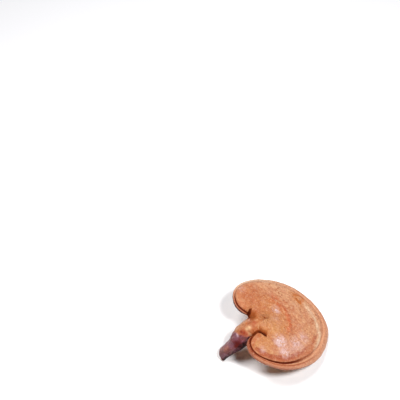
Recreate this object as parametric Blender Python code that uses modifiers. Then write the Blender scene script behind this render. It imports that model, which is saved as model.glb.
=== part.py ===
"""Dried reishi mushroom: a kidney-shaped cap with a rolled margin, and the stem that it grew out of.

Cap and stem are one woody body. It lies cap up, on the cut end of its stem and on the far margin of its cap.
"""

import math

import bmesh
import bpy
import numpy as np
from mathutils import Matrix

MM = 0.001

# Cap frame: u runs from the stem to the far margin, v across the cap, h up out of its face. The stem grows at u = 0.

# Margin of the cap seen square on, counter-clockwise from the far side
MARGIN = np.array([
    (90.2, -3.5), (86.0, 16.0), (75.0, 32.5), (58.5, 45.5), (39.5, 52.5), (19.5, 54.5), (1.0, 52.0),
    (-13.0, 45.0), (-19.8, 34.0), (-20.4, 22.5), (-14.8, 13.6), (-6.8, 10.0),
    (-10.8, 5.2), (-12.8, -1.0), (-12.0, -7.0), (-8.8, -12.0),
    (-12.5, -14.8), (-18.0, -20.5), (-19.5, -28.8), (-15.0, -38.3),
    (-3.0, -46.2), (13.0, -52.0), (31.0, -52.8), (49.0, -49.0), (65.5, -40.8), (81.0, -24.5),
]) * MM
CAP_CENTRE = np.array([24.0, -2.0]) * MM
CAP_RADIUS = 54.0 * MM

# Top of the cap: a gentle crown, a hump where it meets the stem, and the creases on both sides of that neck
CROWN_DROP = 2.2 * MM
CROWN_POWER = 2.4
HUMP_CENTRE = np.array([8.0, 0.0]) * MM
HUMP_SPREAD = np.array([16.0, 12.0]) * MM
HUMP_HEIGHT = 1.6 * MM
# Each crease is a course of places with the depth there, and its steep side is the one on its right, by the lobe
UPPER_CREASE = np.array([(1.6, 21.5, 0.0), (-1.4, 17.8, 1.6), (-3.2, 14.2, 2.8), (-5.4, 10.6, 4.4)]) * MM
LOWER_CREASE = np.array([
    (-9.0, -10.6, 2.0), (-4.4, -9.0, 1.8), (-0.6, -10.4, 3.4), (2.6, -12.8, 4.6), (5.8, -15.0, 3.4),
    (9.6, -17.0, 0.0),
]) * MM
CREASE_SPREAD = 4.0 * MM
CREASE_STEEP_SPREAD = 1.6 * MM
# A cleft follows the edge of each lobe and leans in under it: place of the edge, depth, and width left of the edge
UPPER_CLEFT = np.array([
    (-1.0, 21.4, -1.5, 0.8), (-3.2, 18.0, 2.6, 1.4), (-5.2, 14.6, 4.4, 2.2), (-6.6, 11.2, 6.2, 2.8),
    (-7.8, 7.6, 7.4, 2.8),
]) * MM
LOWER_CLEFT = np.array([
    (-11.8, -14.2, 5.0, 1.4), (-8.2, -12.4, 4.6, 1.4), (-4.9, -10.9, 4.4, 1.6), (-2.1, -12.1, 5.8, 2.4),
    (0.7, -15.1, 7.6, 3.6), (3.2, -17.2, 6.0, 3.4), (5.4, -18.4, -1.5, 1.6),
]) * MM
# Lean of the wall under the lobe, height of the cut above the cap, width of its floor as a share of the top's, and
# least depth over which the other wall spreads
CLEFT_LEAN = 0.30
CLEFT_TOP = 2.5 * MM
CLEFT_FLOOR = 0.3
CLEFT_FLARE = 3.0 * MM

# Neck: between the lobes the top has no lip, and runs on over the stem's shoulder
NECK = np.array([-11.5, -0.8]) * MM
NECK_REACH = 11.0 * MM
NECK_DROP = 7.0 * MM

# Rolled margin: the last growth zone is a lip outside a groove. Along the margin: bearing from the cap's centre in
# degrees, width of the lip, depth of the groove, and how far the lip has sunk down the side, in millimetres
LIP = np.array([
    (-180.0, 1.8, 0.4, 1.6), (-165.0, 1.8, 1.4, 0.6), (-150.0, 2.2, 1.9, 0.0), (-130.0, 3.0, 1.9, 0.0),
    (-108.0, 4.4, 1.6, 0.0), (-88.0, 6.3, 1.1, 0.0), (-68.0, 8.4, 0.7, 0.0), (-40.0, 9.8, 0.4, 0.0),
    (0.0, 10.0, 0.3, 0.0), (45.0, 8.0, 0.3, 0.0), (80.0, 5.0, 0.2, 0.3), (110.0, 3.0, 0.4, 1.2),
    (130.0, 1.6, 1.7, 2.4), (160.0, 1.4, 1.7, 2.4), (180.0, 1.8, 0.4, 1.6),
])
SHOULDER = 5.0 * MM
# Rings of the cage here, from the shoulder outwards. Inner ones: share of the shoulder's width in from the lip, drop
# below the shoulder, and share of the sinking. Lip ones: share of the lip's width in from the margin, and the same
SHOULDER_TOP = ((0.50, 0.3 * MM, 0.1), (0.18, 0.9 * MM, 0.35))
GROOVE_FLOOR = 1.4 * MM
LIP_TOP = ((0.82, 1.5 * MM, 1.0), (0.50, 1.6 * MM, 1.0), (0.20, 2.8 * MM, 0.8), (0.0, 4.9 * MM, 0.25))
# Underside rings of the margin: distance in from the margin, drop below the shoulder, and share of the sag there
LIP_UNDER = (
    (0.8 * MM, 7.2 * MM, 0.6), (2.8 * MM, 8.6 * MM, 1.0), (5.2 * MM, 9.0 * MM, 1.0), (7.6 * MM, 8.7 * MM, 0.9),
)
# The margin is thickest on this stretch of its far side, and rests on it
SAG_PLACE = np.array([82.0, 26.0]) * MM
SAG_SPREAD = 16.0 * MM
SAG_DEPTH = 4.0 * MM
TOP_RINGS = (0.14, 0.28, 0.42, 0.54, 0.65, 0.75, 0.84, 0.93)
UNDER_RINGS = (0.85, 0.66, 0.46, 0.25)
PORES_DEPTH = 10.9 * MM
ROOT_SWELL = 5.5 * MM
ROOT_SPREAD = 18.0 * MM

# Stem: centre line from inside the cap down to below its cut end, with its radius at each point
STEM = np.array([
    (12.0, -2.0, -10.0, 5.5), (4.5, -1.0, -8.8, 7.6), (-2.0, -1.0, -9.6, 8.8), (-6.0, -1.5, -13.0, 9.2),
    (-7.5, -2.3, -19.4, 9.6), (-8.6, -4.8, -28.8, 10.0), (-10.8, -6.9, -39.2, 8.0), (-13.3, -6.4, -50.6, 6.8),
    (-14.8, -6.3, -62.0, 6.0), (-15.9, -6.3, -72.4, 6.0),
]) * MM
# Knobs on the stem: height of the middle, bearing around the stem, reach out of it, half-length
STEM_KNOBS = (
    (-25.0 * MM, math.radians(150.0), 1.1 * MM, 6.0 * MM),
    (-20.0 * MM, math.radians(270.0), 1.2 * MM, 7.0 * MM),
    (-33.0 * MM, math.radians(20.0), 1.0 * MM, 7.0 * MM),
    (-47.0 * MM, math.radians(200.0), 0.8 * MM, 5.0 * MM),
    (-68.0 * MM, math.radians(250.0), 2.8 * MM, 5.0 * MM),
)
STEM_CUT_POINT = np.array([-14.7, -6.1, -62.1]) * MM
STEM_CUT_NORMAL = np.array([-0.45, 0.28, -0.85])

# Cage: meridians run from a pole on the cap's far half, and stand closer together by the stem
POLE = np.array([48.0, -3.0]) * MM
MERIDIANS = 43
CROWDING = 0.35
# Rounds of evening out, so that meridians by the lobes neither cross nor crowd on their way to the pole
EVEN_NORMALS = 3
EVEN_RINGS = 16
EVEN_POWER = 1.3
STEM_SIDES = 14
STEM_STATIONS = 16

# Pose in which the mushroom comes to rest, sloping down towards +u, and how much of each contact is worn flat
REST_TILT = math.radians(29.3)
REST_YAW = math.radians(14.7)
WORN_FLAT = 0.7 * MM

CUTTER_SIZE = 0.4

MATERIALS = {
    "crust": ((0.70, 0.29, 0.13), 0.55),
    "pores": ((0.70, 0.45, 0.22), 0.85),
    "stem_skin": ((0.26, 0.06, 0.04), 0.40),
    "cut_end": ((0.72, 0.52, 0.36), 0.90),
}


def clear_scene():
    for old in list(bpy.data.objects):
        bpy.data.objects.remove(old, do_unlink=True)


def spline(points, shares, closed):
    """Points along a smooth curve through the given ones, each share between 0 and 1 of its spans."""
    points = np.asarray(points)
    spans = len(points) if closed else len(points) - 1
    places = np.asarray(shares) * spans
    index = np.minimum(places.astype(int), spans - 1)
    t = (places - index)[:, None]
    if closed:
        p = [points[(index + step) % len(points)] for step in (-1, 0, 1, 2)]
    else:
        p = [points[np.clip(index + step, 0, spans)] for step in (-1, 0, 1, 2)]
    bend = 2 * p[0] - 5 * p[1] + 4 * p[2] - p[3]
    return p[1] + 0.5 * t * (p[2] - p[0] + t * (bend + t * (3 * (p[1] - p[2]) + p[3] - p[0])))


def valley(place, course):
    """Depth of a rounded valley that follows the course."""
    deepest = np.zeros(place.shape[:-1])
    for start, end in zip(course[:-1], course[1:]):
        run = end[:2] - start[:2]
        share = np.clip((place - start[:2]) @ run / (run @ run), 0.0, 1.0)
        away = place - start[:2] - share[..., None] * run
        left = run[0] * away[..., 1] - run[1] * away[..., 0] > 0
        spread = np.where(left, CREASE_SPREAD, CREASE_STEEP_SPREAD)
        depth = start[2] + (end[2] - start[2]) * share
        deepest = np.maximum(deepest, depth * np.exp(-0.5 * (away ** 2).sum(axis=-1) / spread ** 2))
    return deepest


def bare_crown(place):
    """Height of the cap's top without its creases."""
    away = np.linalg.norm(place - CAP_CENTRE, axis=-1) / CAP_RADIUS
    hump = np.exp(-0.5 * (((place - HUMP_CENTRE) / HUMP_SPREAD) ** 2).sum(axis=-1))
    return HUMP_HEIGHT * hump - CROWN_DROP * away ** CROWN_POWER


def crown(place):
    """Height of the cap's top."""
    return bare_crown(place) - valley(place, UPPER_CREASE) - valley(place, LOWER_CREASE)


def underside(place):
    """Height of the pore surface, which swells down where the stem begins."""
    swell = np.exp(-0.5 * (place ** 2).sum(axis=-1) / ROOT_SPREAD ** 2)
    return -PORES_DEPTH - ROOT_SWELL * swell - sag(place)


def sag(place):
    """Depth by which the underside hangs lower where the margin is thickest."""
    away = np.linalg.norm(place - SAG_PLACE, axis=-1)
    return SAG_DEPTH * np.exp(-0.5 * (away / SAG_SPREAD) ** 2)


def evened(values, rounds):
    """Values around a ring, each moved towards its neighbours as often as the rounds say."""
    for _ in range(rounds):
        values = (np.roll(values, 1, axis=0) + 2 * values + np.roll(values, -1, axis=0)) / 4
    return values


def inner_ring(ring, share):
    """Smaller and more even copy of a ring around the pole."""
    even = (1 - share) ** EVEN_POWER
    return POLE + (ring + (evened(ring, EVEN_RINGS) - ring) * even - POLE) * share


def cap_rings():
    """Rings of the cap's cage from the top's centre over the margin to the underside's centre."""
    shares = np.arange(MERIDIANS) / MERIDIANS
    shares = shares + CROWDING * np.sin(2 * math.pi * shares) / (2 * math.pi)
    margin = spline(MARGIN, shares, True)
    along = np.roll(margin, -1, axis=0) - np.roll(margin, 1, axis=0)
    outward = np.stack((along[:, 1], -along[:, 0]), axis=1)
    outward = evened(outward / np.linalg.norm(outward, axis=1)[:, None], EVEN_NORMALS)
    outward /= np.linalg.norm(outward, axis=1)[:, None]
    bearing = np.degrees(np.arctan2(*(margin - CAP_CENTRE).T[::-1]))
    lip, groove, sunk = (np.interp(bearing, LIP[:, 0], LIP[:, column]) * MM for column in (1, 2, 3))

    neck = 1 / (1 + (np.linalg.norm(margin - NECK, axis=1) / NECK_REACH) ** 8)
    reach = lip + SHOULDER
    shoulder = margin - outward * reach[:, None]
    edge = crown(shoulder)

    def ring(inset, drop):
        place = margin - outward * inset[:, None]
        flow = crown(place) - NECK_DROP * (1 - inset / reach) ** 2
        return np.column_stack((place, edge - drop + neck * (flow - edge + drop)))

    rings = []
    for share in TOP_RINGS:
        place = inner_ring(shoulder, share)
        rings.append(np.column_stack((place, crown(place))))
    rings.append(np.column_stack((shoulder, edge)))
    for share, drop, sinking in SHOULDER_TOP:
        rings.append(ring(lip + share * SHOULDER, drop + sinking * sunk))
    rings.append(ring(lip, GROOVE_FLOOR + groove + sunk))
    for share, drop, sinking in LIP_TOP:
        rings.append(ring(lip * share, drop + sinking * sunk))
    margin_row = len(rings) - 1
    for inset, drop, share in LIP_UNDER:
        place = margin - outward * inset
        rings.append(np.column_stack((place, -CROWN_DROP - drop - share * sag(place))))
    inner = rings[-1][:, :2]
    for share in UNDER_RINGS:
        place = inner_ring(inner, share)
        rings.append(np.column_stack((place, underside(place))))
    return rings, margin_row


def cleft_rings(course):
    """Cross-sections of a cleft, from its floor to above the cap, with the wall under the lobe on the right."""
    run = np.gradient(course[:, :2], axis=0)
    run /= np.linalg.norm(run, axis=1)[:, None]
    right = np.column_stack((run[:, 1], -run[:, 0]))
    rings = []
    for place, side, depth, width in zip(course[:, :2], right, course[:, 2], course[:, 3]):
        top = bare_crown(place)
        flare = (width + CLEFT_LEAN * depth) / max(depth, CLEFT_FLARE)
        corners = (
            (CLEFT_LEAN * depth, top - depth),
            (-CLEFT_LEAN * CLEFT_TOP, top + CLEFT_TOP),
            (-width - flare * CLEFT_TOP, top + CLEFT_TOP),
            (CLEFT_LEAN * depth - CLEFT_FLOOR * width, top - depth),
        )
        rings.append(np.array([(*(place + side * across), height) for across, height in corners]))
    return rings


def solid(name, rings, materials):
    """Closed tube through rings of equal count, with flat ends."""
    mesh = bpy.data.meshes.new(name)
    tube = bmesh.new()
    rows = [[tube.verts.new(point) for point in ring] for ring in rings]
    count = len(rows[0])
    for near, far in zip(rows[:-1], rows[1:]):
        for j in range(count):
            k = (j + 1) % count
            tube.faces.new((near[j], far[j], far[k], near[k]))
    tube.faces.new(rows[0])
    tube.faces.new(rows[-1])
    bmesh.ops.recalc_face_normals(tube, faces=tube.faces)
    tube.to_mesh(mesh)
    tube.free()
    for material in materials:
        mesh.materials.append(material)
    return bpy.data.objects.new(name, mesh)


def loft(name, rings, first, last, materials, material_of_row):
    """Closed cage through rings of equal count, with a point at each end."""
    mesh = bpy.data.meshes.new(name)
    cage = bmesh.new()
    rows = [[cage.verts.new(point) for point in ring] for ring in rings]
    tips = [cage.verts.new(first), cage.verts.new(last)]
    count = len(rows[0])
    for j in range(count):
        k = (j + 1) % count
        cage.faces.new((tips[0], rows[0][j], rows[0][k]))
        cage.faces.new((tips[1], rows[-1][k], rows[-1][j])).material_index = material_of_row(len(rows) - 1)
        for i in range(len(rows) - 1):
            face = cage.faces.new((rows[i][j], rows[i + 1][j], rows[i + 1][k], rows[i][k]))
            face.material_index = material_of_row(i)
    bmesh.ops.recalc_face_normals(cage, faces=cage.faces)
    cage.to_mesh(mesh)
    cage.free()
    for material in materials:
        mesh.materials.append(material)
    mesh.shade_smooth()
    smooth = bpy.data.objects.new(name, mesh)
    softening = smooth.modifiers.new("soft form", "SUBSURF")
    softening.levels = 1
    softening.render_levels = 1
    return smooth


def cap(materials):
    rings, margin_row = cap_rings()
    top = (*POLE, crown(POLE))
    bottom = (*POLE, underside(POLE))
    skins = (materials["crust"], materials["pores"])
    return loft("reishi_mushroom", rings, top, bottom, skins, lambda row: int(row > margin_row + 1))


def stem(materials):
    """Bent tapering stem whose upper end is inside the cap."""
    path = spline(STEM, np.linspace(0.0, 1.0, STEM_STATIONS), False)
    centres, radii = path[:, :3], path[:, 3]
    tangents = np.gradient(centres, axis=0)
    tangents /= np.linalg.norm(tangents, axis=1)[:, None]
    smoothing = (2 + math.cos(2 * math.pi / STEM_SIDES)) / 3
    across = np.array([0.0, 1.0, 0.0])
    turns = 2 * math.pi * np.arange(STEM_SIDES) / STEM_SIDES
    rings = []
    for centre, radius, tangent in zip(centres, radii, tangents):
        side = across - tangent * (across @ tangent)
        side /= np.linalg.norm(side)
        up = np.cross(tangent, side)
        spokes = np.outer(np.cos(turns), side) + np.outer(np.sin(turns), up)
        bearings = np.arctan2(spokes[:, 1], spokes[:, 0])
        reach = np.full(STEM_SIDES, radius)
        for height, bearing, size, length in STEM_KNOBS:
            facing_it = np.maximum(np.cos(bearings - bearing), 0.0) ** 2
            reach += size * facing_it * math.exp(-0.5 * ((centre[2] - height) / length) ** 2)
        rings.append(centre + spokes * reach[:, None] / smoothing)
    first = centres[0] - tangents[0] * 2.0 * MM
    last = centres[-1] + tangents[-1] * 2.0 * MM
    return loft("stem", rings, first, last, (materials["stem_skin"],), lambda row: 0)


def block(name, material):
    """Cube whose top face lies in its own plane z = 0."""
    mesh = bpy.data.meshes.new(name)
    shape = bmesh.new()
    bmesh.ops.create_cube(shape, size=CUTTER_SIZE)
    bmesh.ops.translate(shape, vec=(0.0, 0.0, -CUTTER_SIZE / 2), verts=shape.verts)
    shape.to_mesh(mesh)
    shape.free()
    mesh.materials.append(material)
    return bpy.data.objects.new(name, mesh)


def facing(normal):
    """Rotation that turns -Z to the given direction."""
    down = np.asarray(normal) / np.linalg.norm(normal)
    side = np.cross((0.0, 1.0, 0.0), -down)
    side /= np.linalg.norm(side)
    return Matrix(np.column_stack((side, np.cross(-down, side), -down)).tolist()).to_4x4()


def boolean(body, tool, operation):
    joint = body.modifiers.new(tool.name, "BOOLEAN")
    joint.operation = operation
    joint.solver = "EXACT"
    joint.material_mode = "TRANSFER"
    joint.object = tool


def principled(name, colour, roughness):
    material = bpy.data.materials.new(name)
    material.use_nodes = True
    shader = material.node_tree.nodes["Principled BSDF"]
    shader.inputs["Base Color"].default_value = (*colour, 1.0)
    shader.inputs["Roughness"].default_value = roughness
    shader.inputs["Metallic"].default_value = 0.0
    return material


def world_box(body):
    """Lowest and highest corner of the evaluated body."""
    graph = bpy.context.evaluated_depsgraph_get()
    shape = body.evaluated_get(graph)
    mesh = shape.to_mesh()
    points = np.array([shape.matrix_world @ vertex.co for vertex in mesh.vertices])
    shape.to_mesh_clear()
    return points.min(axis=0), points.max(axis=0)


def build():
    clear_scene()
    parts = bpy.data.collections.new("reishi mushroom")
    tools = bpy.data.collections.new("joined and cut shapes")
    for collection in (parts, tools):
        bpy.context.scene.collection.children.link(collection)
    materials = {name: principled(name, *look) for name, look in MATERIALS.items()}

    mushroom = cap(materials)
    stalk = stem(materials)
    clefts = [
        solid(name, cleft_rings(course), (materials["crust"],))
        for name, course in (("upper_cleft", UPPER_CLEFT), ("lower_cleft", LOWER_CLEFT))
    ]
    knife = block("stem_cut", materials["cut_end"])
    knife.matrix_local = Matrix.Translation(STEM_CUT_POINT) @ facing(STEM_CUT_NORMAL)
    ground = block("ground", materials["pores"])
    pose = bpy.data.objects.new("rest_pose", None)
    pose.matrix_world = Matrix.Rotation(REST_YAW, 4, "Z") @ Matrix.Rotation(REST_TILT, 4, "Y")
    parts.objects.link(mushroom)
    for helper in (pose, stalk, *clefts, knife, ground):
        tools.objects.link(helper)
    for piece in (mushroom, stalk, *clefts, knife):
        piece.parent = pose
    for tool in (stalk, *clefts, knife, ground):
        tool.hide_render = True
        tool.display_type = "WIRE"

    boolean(mushroom, stalk, "UNION")
    for tool in (*clefts, knife):
        boolean(mushroom, tool, "DIFFERENCE")
    low, high = world_box(mushroom)
    middle = (low + high) / 2
    pose.location = (-middle[0], -middle[1], -low[2] - WORN_FLAT)
    boolean(mushroom, ground, "DIFFERENCE")


build()
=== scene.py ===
"""Looks of a dried reishi mushroom: spore-dusted crust, lacquered stem, pore surface and cut end."""

import math

import bmesh
import bpy
import numpy as np
from mathutils import Matrix, Vector, kdtree, noise
from mathutils.bvhtree import BVHTree
from mathutils.interpolate import poly_3d_calc


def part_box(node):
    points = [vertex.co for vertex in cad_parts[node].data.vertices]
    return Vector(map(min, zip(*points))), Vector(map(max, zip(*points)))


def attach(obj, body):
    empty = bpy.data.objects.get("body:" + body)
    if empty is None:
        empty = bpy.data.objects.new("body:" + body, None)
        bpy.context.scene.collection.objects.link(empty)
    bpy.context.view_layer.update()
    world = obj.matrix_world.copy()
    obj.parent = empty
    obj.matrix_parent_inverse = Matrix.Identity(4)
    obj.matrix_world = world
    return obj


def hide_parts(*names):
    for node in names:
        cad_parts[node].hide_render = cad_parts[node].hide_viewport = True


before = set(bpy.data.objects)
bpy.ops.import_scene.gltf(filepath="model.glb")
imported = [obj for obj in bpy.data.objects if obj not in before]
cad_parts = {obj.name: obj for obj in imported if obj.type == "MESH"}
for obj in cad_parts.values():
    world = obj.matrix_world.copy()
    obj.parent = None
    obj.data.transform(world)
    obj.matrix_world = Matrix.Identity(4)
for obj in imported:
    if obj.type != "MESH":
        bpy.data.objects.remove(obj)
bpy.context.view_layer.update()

MM = 0.001


def mm(*values):
    """Array of values given in millimetres."""
    return np.array(values) * MM


# Cap frame: u runs from the stem to the far margin, v across the cap, h up out of its face. The stem grows at u = 0

# Margin of the cap seen square on, counter-clockwise from the far side
MARGIN = mm(
    (90.2, -3.5), (86.0, 16.0), (75.0, 32.5), (58.5, 45.5), (39.5, 52.5), (19.5, 54.5), (1.0, 52.0),
    (-13.0, 45.0), (-19.8, 34.0), (-20.4, 22.5), (-14.8, 13.6), (-6.8, 10.0),
    (-10.8, 5.2), (-12.8, -1.0), (-12.0, -7.0), (-8.8, -12.0),
    (-12.5, -14.8), (-18.0, -20.5), (-19.5, -28.8), (-15.0, -38.3),
    (-3.0, -46.2), (13.0, -52.0), (31.0, -52.8), (49.0, -49.0), (65.5, -40.8), (81.0, -24.5),
)
CAP_CENTRE = mm(24.0, -2.0)
CAP_RADIUS = 54.0 * MM

# Top of the cap: a gentle crown, a hump where it meets the stem, and the creases on both sides of that neck
CROWN_DROP = 2.2 * MM
CROWN_POWER = 2.4
HUMP_CENTRE = mm(8.0, 0.0)
HUMP_SPREAD = mm(16.0, 12.0)
HUMP_HEIGHT = 1.6 * MM
# Each crease is a course of places with the depth there, and its steep side is the one on its right, by the lobe
UPPER_CREASE = mm((1.6, 21.5, 0.0), (-1.4, 17.8, 1.6), (-3.2, 14.2, 2.8), (-5.4, 10.6, 4.4))
LOWER_CREASE = mm(
    (-9.0, -10.6, 2.0), (-4.4, -9.0, 1.8), (-0.6, -10.4, 3.4), (2.6, -12.8, 4.6), (5.8, -15.0, 3.4),
    (9.6, -17.0, 0.0),
)
CREASE_SPREAD = 4.0 * MM
CREASE_STEEP_SPREAD = 1.6 * MM
# A cleft follows the edge of each lobe and leans in under it: place of the edge, depth, and width left of the edge
UPPER_CLEFT = mm(
    (-1.0, 21.4, -1.5, 0.8), (-3.2, 18.0, 2.6, 1.4), (-5.2, 14.6, 4.4, 2.2), (-6.6, 11.2, 6.2, 2.8),
    (-7.8, 7.6, 7.4, 2.8),
)
LOWER_CLEFT = mm(
    (-11.8, -14.2, 5.0, 1.4), (-8.2, -12.4, 4.6, 1.4), (-4.9, -10.9, 4.4, 1.6), (-2.1, -12.1, 5.8, 2.4),
    (0.7, -15.1, 7.6, 3.6), (3.2, -17.2, 6.0, 3.4), (5.4, -18.4, -1.5, 1.6),
)
# Lean of the wall under the lobe, height of the cut above the cap, width of its floor as a share of the top's, and
# least depth over which the other wall spreads
CLEFT_LEAN = 0.30
CLEFT_TOP = 2.5 * MM
CLEFT_FLOOR = 0.3
CLEFT_FLARE = 3.0 * MM

# Neck: between the lobes the top has no lip, and runs on over the stem's shoulder
NECK = mm(-11.5, -0.8)
NECK_REACH = 11.0 * MM
NECK_SHARPNESS = 8
NECK_DROP = 7.0 * MM

# Rolled margin: the last growth zone is a lip outside a groove. Along the margin: bearing from the cap's centre in
# degrees, width of the lip, depth of the groove, and how far the lip has sunk down the side, in millimetres
LIP = (
    (-180.0, 1.8, 0.4, 1.6), (-165.0, 1.8, 1.4, 0.6), (-150.0, 2.2, 1.9, 0.0), (-130.0, 3.0, 1.9, 0.0),
    (-108.0, 4.4, 1.6, 0.0), (-88.0, 6.3, 1.1, 0.0), (-68.0, 8.4, 0.7, 0.0), (-40.0, 9.8, 0.4, 0.0),
    (0.0, 10.0, 0.3, 0.0), (45.0, 8.0, 0.3, 0.0), (80.0, 5.0, 0.2, 0.3), (110.0, 3.0, 0.4, 1.2),
    (130.0, 1.6, 1.7, 2.4), (160.0, 1.4, 1.7, 2.4), (180.0, 1.8, 0.4, 1.6),
)
SHOULDER = 5.0 * MM
# Rings of the cage, from the shoulder outwards. Inner ones: share of the shoulder's width in from the lip, drop
# below the shoulder, and share of the sinking. Lip ones: share of the lip's width in from the margin, and the same
SHOULDER_TOP = ((0.50, 0.3 * MM, 0.1), (0.18, 0.9 * MM, 0.35))
GROOVE_FLOOR = 1.4 * MM
LIP_TOP = ((0.82, 1.5 * MM, 1.0), (0.50, 1.6 * MM, 1.0), (0.20, 2.8 * MM, 0.8), (0.0, 4.9 * MM, 0.25))
# Underside rings of the margin: distance in from the margin, drop below the shoulder, and share of the sag there
LIP_UNDER = (
    (0.8 * MM, 7.2 * MM, 0.6), (2.8 * MM, 8.6 * MM, 1.0), (5.2 * MM, 9.0 * MM, 1.0), (7.6 * MM, 8.7 * MM, 0.9),
)
# The margin is thickest on this stretch of its far side, and rests on it
SAG_PLACE = mm(82.0, 26.0)
SAG_SPREAD = 16.0 * MM
SAG_DEPTH = 4.0 * MM
TOP_RINGS = (0.14, 0.28, 0.42, 0.54, 0.65, 0.75, 0.84, 0.93)
UNDER_RINGS = (0.85, 0.66, 0.46, 0.25)
PORES_DEPTH = 10.9 * MM
ROOT_SWELL = 5.5 * MM
ROOT_SPREAD = 18.0 * MM

# Stem: centre line from inside the cap down to below its cut end, with its radius at each point
STEM = mm(
    (12.0, -2.0, -10.0, 5.5), (4.5, -1.0, -8.8, 7.6), (-2.0, -1.0, -9.6, 8.8), (-6.0, -1.5, -13.0, 9.2),
    (-7.5, -2.3, -19.4, 9.6), (-8.6, -4.8, -28.8, 10.0), (-10.8, -6.9, -39.2, 8.0), (-13.3, -6.4, -50.6, 6.8),
    (-14.8, -6.3, -62.0, 6.0), (-15.9, -6.3, -72.4, 6.0),
)
STEM_TIP = 2.0 * MM
# Knobs on the stem, in millimetres: height of the middle, bearing in degrees, reach out of the stem, half-length
STEM_KNOBS = (
    (-25.0, 150.0, 1.1, 6.0), (-20.0, 270.0, 1.2, 7.0), (-33.0, 20.0, 1.0, 7.0), (-47.0, 200.0, 0.8, 5.0),
    (-68.0, 250.0, 2.8, 5.0),
)
STEM_CUT_POINT = mm(-14.7, -6.1, -62.1)
STEM_CUT_NORMAL = np.array([-0.45, 0.28, -0.85])
KNIFE_SIZE = 0.4

# Cage: meridians run from a pole on the cap's far half, and stand closer together by the stem
POLE = mm(48.0, -3.0)
MERIDIANS = 43
CROWDING = 0.35
# Rounds of evening out, so that meridians by the lobes neither cross nor crowd on their way to the pole
EVEN_NORMALS = 3
EVEN_RINGS = 16
EVEN_POWER = 1.3
STEM_SIDES = 14
STEM_STATIONS = 16
CAGE_LEVELS = 1
FINE_LEVELS = 2
# The joined body is meshed again in even faces of this size
FACE_SIZE = 0.55 * MM
# Rounds of smoothing for the whole body, for the edges of the lobes, and for the fields that the body carries
ROUNDING = 5
LOBE_ROUNDING = 14
FIELD_ROUNDS = 6

# Pose in which the mushroom rests, sloping down towards +u
REST_TILT = math.radians(29.3)
REST_YAW = math.radians(14.7)

# Materials by their slot on the mushroom's mesh
CRUST, PORES, STEM_SKIN, CUT_END = range(4)

# Camera: seen from this elevation, with the middle of the mushroom at this pixel of the picture
ELEVATION = math.radians(65.6)
LENS = 90.0
SENSOR = 36.0
PICTURE = 400
MIDDLE_PIXEL = (273.0, 325.0)
MIDDLE_OFFSET = (13.0, -4.0, 0.0)
PIXEL_SIZE = 1.04 * MM
FLOOR_RADIUS = 3.0
FLOOR_COLOUR = (0.95, 0.95, 0.96, 1.0)

# Disks of light aimed at one place: where they hang, their size and their power
LIT_PLACE = (0.0, 0.0, 0.03)
LIGHTS = {"key": ((-0.26, 0.14, 1.06), 0.42, 9.3), "second": ((0.32, -0.28, 1.08), 0.22, 11.6)}
WORLD_COLOUR = (0.75, 0.6, 1.0, 1.0)
WORLD_STRENGTH = 0.03

# Relief of the cap. A reach is a stretch of the margin by bearing: start, end and soft edge, in degrees
MARGIN_SAMPLES = 2400
GROOVE_WIDTH = 1.1 * MM
GROOVE_DEPTH = 1.1 * MM
LINE_REACH = (-165.0, -55.0, 20.0)
LINE_SHARE = 0.58
LINE_WIDTH = 0.40 * MM
LINE_DEPTH = 0.30 * MM
# Rolls on both sides of the groove, as distance from it and spread
ROLLS = mm((2.1, 1.0), (-1.7, 0.8))
ROLL_HEIGHT = 0.45 * MM
# Growth ridges, bent by the coarse and the fine wave
RIDGE_REACH = (-70.0, 60.0, 35.0)
RIDGE_SPACING = 3.4 * MM
RIDGE_HEIGHT = 0.14 * MM
RIDGE_BENDS = mm(1.4, 0.5)
# The hub's plateau ends in a low step with a rim
HUB = mm(8.0, 2.0)
PLATEAU_BEND = 2.5 * MM
PLATEAU_STEP = 0.5 * MM
RIM_PLACE = 28.0 * MM
RIM_WIDTH = 2.2 * MM
RIM_HEIGHT = 0.35 * MM
# Slanted wrinkles, with the least share of their height away from where they are strongest
WRINKLES = mm(44.0, -24.0)
WRINKLES_REACH = mm(20.0, 12.0)
WRINKLES_TURN = math.radians(-35.0)
WRINKLES_LEAST = 0.18
WRINKLE_HEIGHT = 0.95 * MM
WRINKLE_LEVEL = 0.7
# Unevenness: height of the coarse wave and its share on the lip, height of the fine one, and bend of the groove
WAVE_HEIGHT = 0.45 * MM
WAVE_ON_LIP = 0.4
FINE_WAVE_HEIGHT = 0.24 * MM
FIELD_BEND = 0.25 * MM
# Fold across the neck: its course, with the depth, and its spread on both sides in the relief and in its reddish
# painted shade
NECK_CUT = mm((-13.4, 0.0, 0.6), (-10.4, 0.9, 1.1), (-6.6, 1.9, 0.6), (-4.0, 1.5, 0.0))
NECK_CUT_SPREAD = mm(1.3, 1.0)
NECK_CUT_TINT = mm(1.8, 1.4)
NECK_LUMP_HEIGHT = 0.5 * MM
DIMPLE_DEPTH = 0.9 * MM
DIMPLE_DARKNESS = 0.5
CUT_RAGGED = 0.35 * MM

# Noises, as size of their features and seed
WAVE = (16.0 * MM, 7.7)
FINE_WAVE = (5.0 * MM, 1.9)
FIELD_WAVE = (8.0 * MM, 3.1)
WRINKLE_NOISE = (mm(8.0, 2.8, 5.0), 5.3)
NECK_LUMPS = (mm(6.0, 3.2, 5.0), 9.4)
CUT_NOISE = (1.3 * MM, 6.6)
COLOUR_WAVE = (9.0 * MM, 7.7)
RAGGED_NOISE = (3.5 * MM, 5.9)
# Lumps, lengthwise wrinkles and grain of the stem: height, size and seed
STEM_LUMPS = ((0.8 * MM, mm(7.0, 7.0, 10.0), 2.7), (0.28 * MM, mm(2.6, 2.6, 10.0), 8.1), (0.10 * MM, 2.2 * MM, 4.4))
# Gain, frequency ratio and count of the octaves of every noise
FRACTAL = (0.9, 2.0, 3)

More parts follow.
